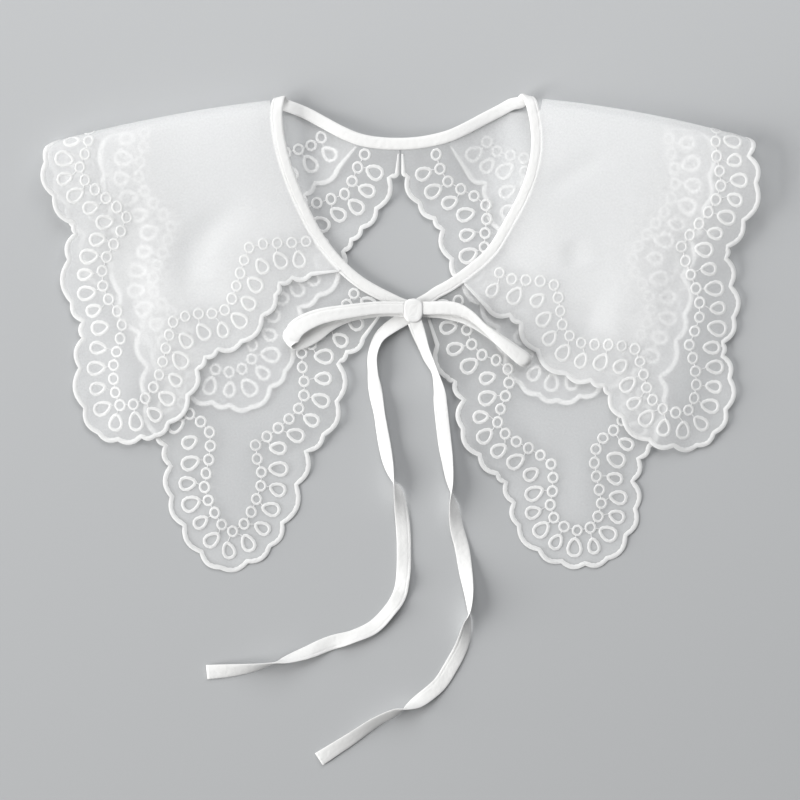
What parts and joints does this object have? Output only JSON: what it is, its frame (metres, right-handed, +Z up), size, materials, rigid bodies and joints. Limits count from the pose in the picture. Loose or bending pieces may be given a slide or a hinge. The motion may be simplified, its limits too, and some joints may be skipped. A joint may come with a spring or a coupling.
{
  "type": "embroidered organza shawl collar",
  "caption": "Sheer shawl collar with two scalloped tiers on each side, a bound neck and a bow with long ties, laid flat.",
  "frame": {"origin": "on the surface that the collar lies on, under the middle of its cloth without the two tie ends", "axes": "+Z up from the surface, +Y towards the neck, +X across the shoulders to the right as seen from above"},
  "size_m": [0.3939, 0.3693, 0.0135],
  "materials": {
    "organza": "sheer white organza with white satin-stitch embroidery",
    "satin": "white satin bias binding with a soft sheen"
  },
  "bodies": {
    "root": {"left_upper_tier": "organza", "left_lower_tier": "organza", "right_upper_tier": "organza", "right_lower_tier": "organza", "neck_binding": "satin", "bow_knot": "satin", "bow_loop_left": "satin", "bow_loop_right": "satin", "tail_left": "satin", "tail_right": "satin"}
  },
  "joints": []
}
